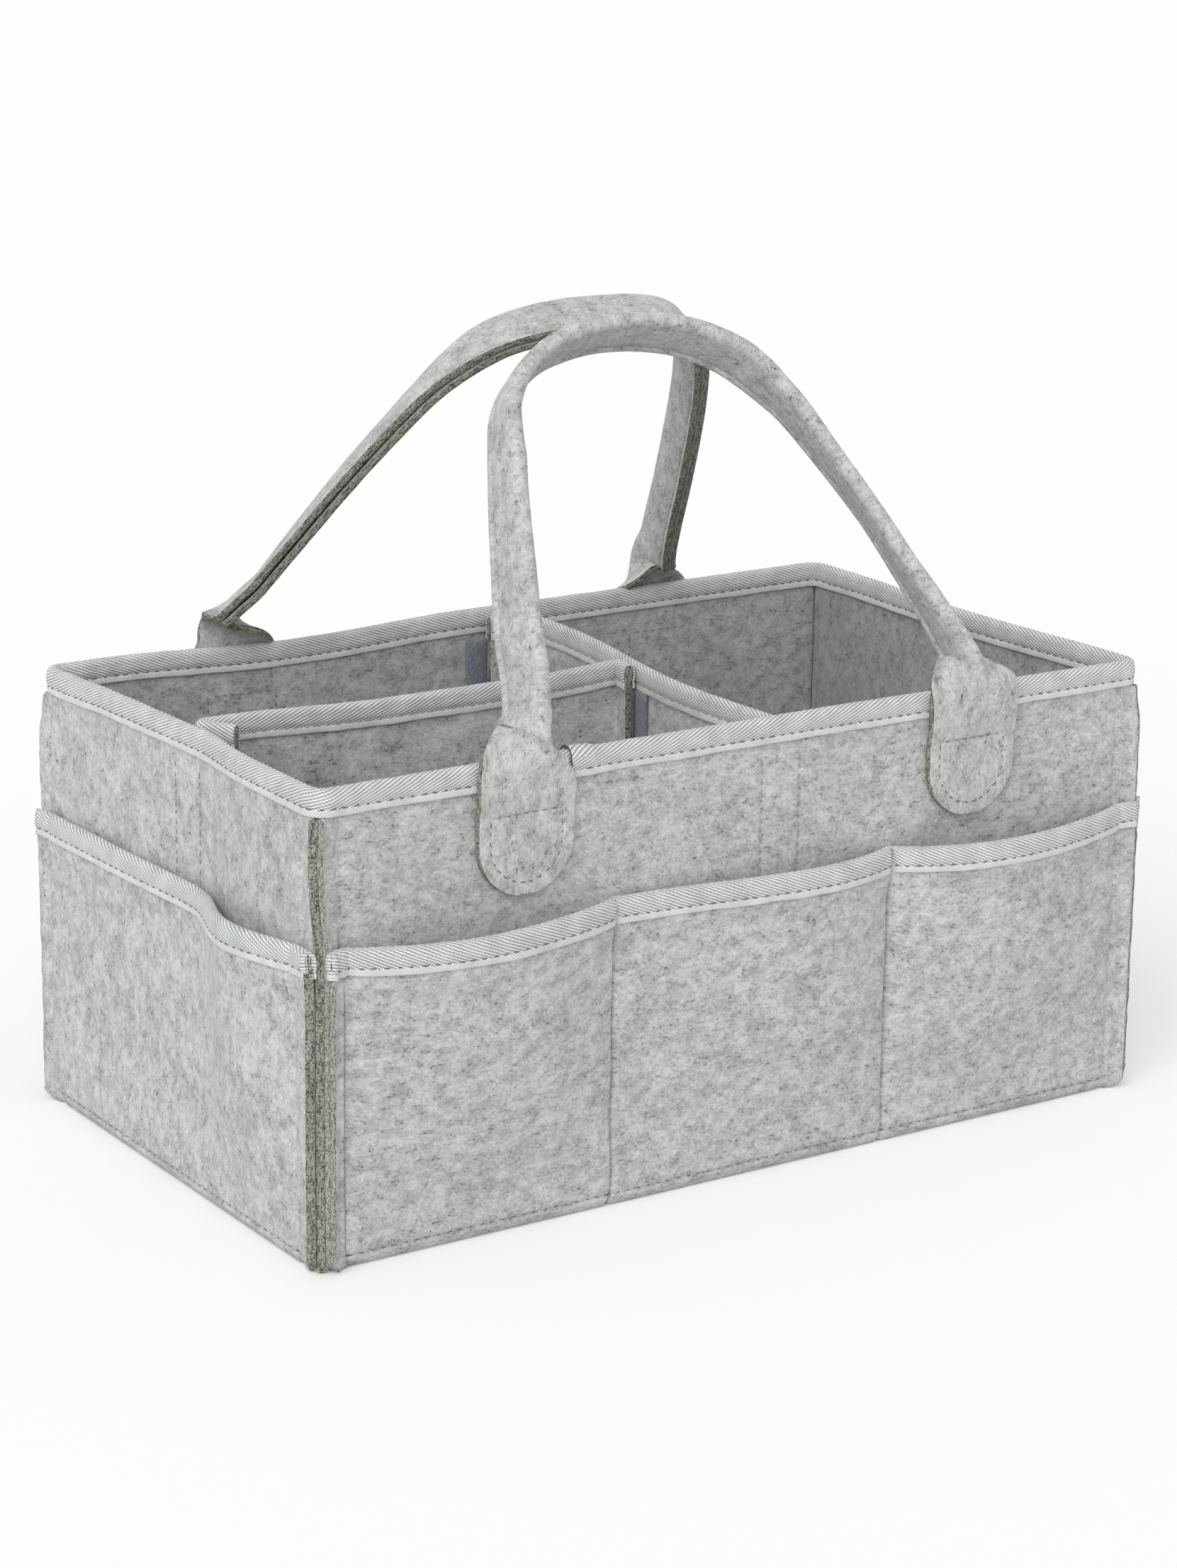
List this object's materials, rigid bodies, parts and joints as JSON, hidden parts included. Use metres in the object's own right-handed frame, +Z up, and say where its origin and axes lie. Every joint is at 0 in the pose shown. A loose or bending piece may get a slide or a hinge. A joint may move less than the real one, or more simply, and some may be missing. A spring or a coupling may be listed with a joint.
{
  "type": "stroller organizer",
  "caption": "Soft open-top felt organizer tote with bound edges, outer slip pockets, two lift-out hook-and-loop dividers and a pair of folded felt carry handles.",
  "frame": {"origin": "centre of the box's footprint, on the floor", "axes": "+X to the right along the long side, +Y from the front long side to the back, +Z up"},
  "size_m": [0.398, 0.2522, 0.3213],
  "materials": {
    "felt": "thick light grey mottled needle felt, matt and slightly hairy",
    "binding_tape": "pale grey twill woven binding tape, matt, with a faint diagonal rib",
    "hook_and_loop": "blue-grey hook and loop strip, matt pile"
  },
  "bodies": {
    "box": {"base_panel": "felt", "front_wall": "felt", "back_wall": "felt", "left_wall": "felt", "right_wall": "felt", "front_pocket_panel": "felt", "back_pocket_panel": "felt", "left_pocket_panel": "felt", "right_pocket_panel": "felt", "front_handle_left_tab": "felt", "front_handle_right_tab": "felt", "back_handle_left_tab": "felt", "back_handle_right_tab": "felt", "rim_binding": "binding_tape", "front_pocket_binding": "binding_tape", "back_pocket_binding": "binding_tape", "left_pocket_binding": "binding_tape", "right_pocket_binding": "binding_tape", "front_wall_loop_strip": "hook_and_loop", "back_wall_loop_strip": "hook_and_loop", "left_wall_loop_strip": "hook_and_loop"},
    "front_handle": {"front_handle": "felt"},
    "back_handle": {"back_handle": "felt"},
    "cross_divider": {"cross_divider": "felt", "cross_divider_binding": "binding_tape", "cross_divider_loop_strip": "hook_and_loop", "cross_divider_front_hook_strip": "hook_and_loop", "cross_divider_back_hook_strip": "hook_and_loop"},
    "long_divider": {"long_divider": "felt", "long_divider_binding": "binding_tape", "long_divider_left_hook_strip": "hook_and_loop", "long_divider_right_hook_strip": "hook_and_loop"}
  },
  "joints": [
    {"name": "front_handle_swing", "type": "hinge", "parent": "box", "child": "front_handle", "pos_m": [0, -0.1125, 0.1816], "axis": [1, 0, 0], "range_deg": [0, 185]},
    {"name": "back_handle_swing", "type": "hinge", "parent": "box", "child": "back_handle", "pos_m": [0, 0.1125, 0.1816], "axis": [-1, 0, 0], "range_deg": [0, 185]},
    {"name": "cross_divider_lift", "type": "slide", "parent": "box", "child": "cross_divider", "axis": [0, 0, 1], "range_m": [0, 0.115]},
    {"name": "long_divider_lift", "type": "slide", "parent": "box", "child": "long_divider", "axis": [0, 0, 1], "range_m": [0, 0.115]}
  ]
}
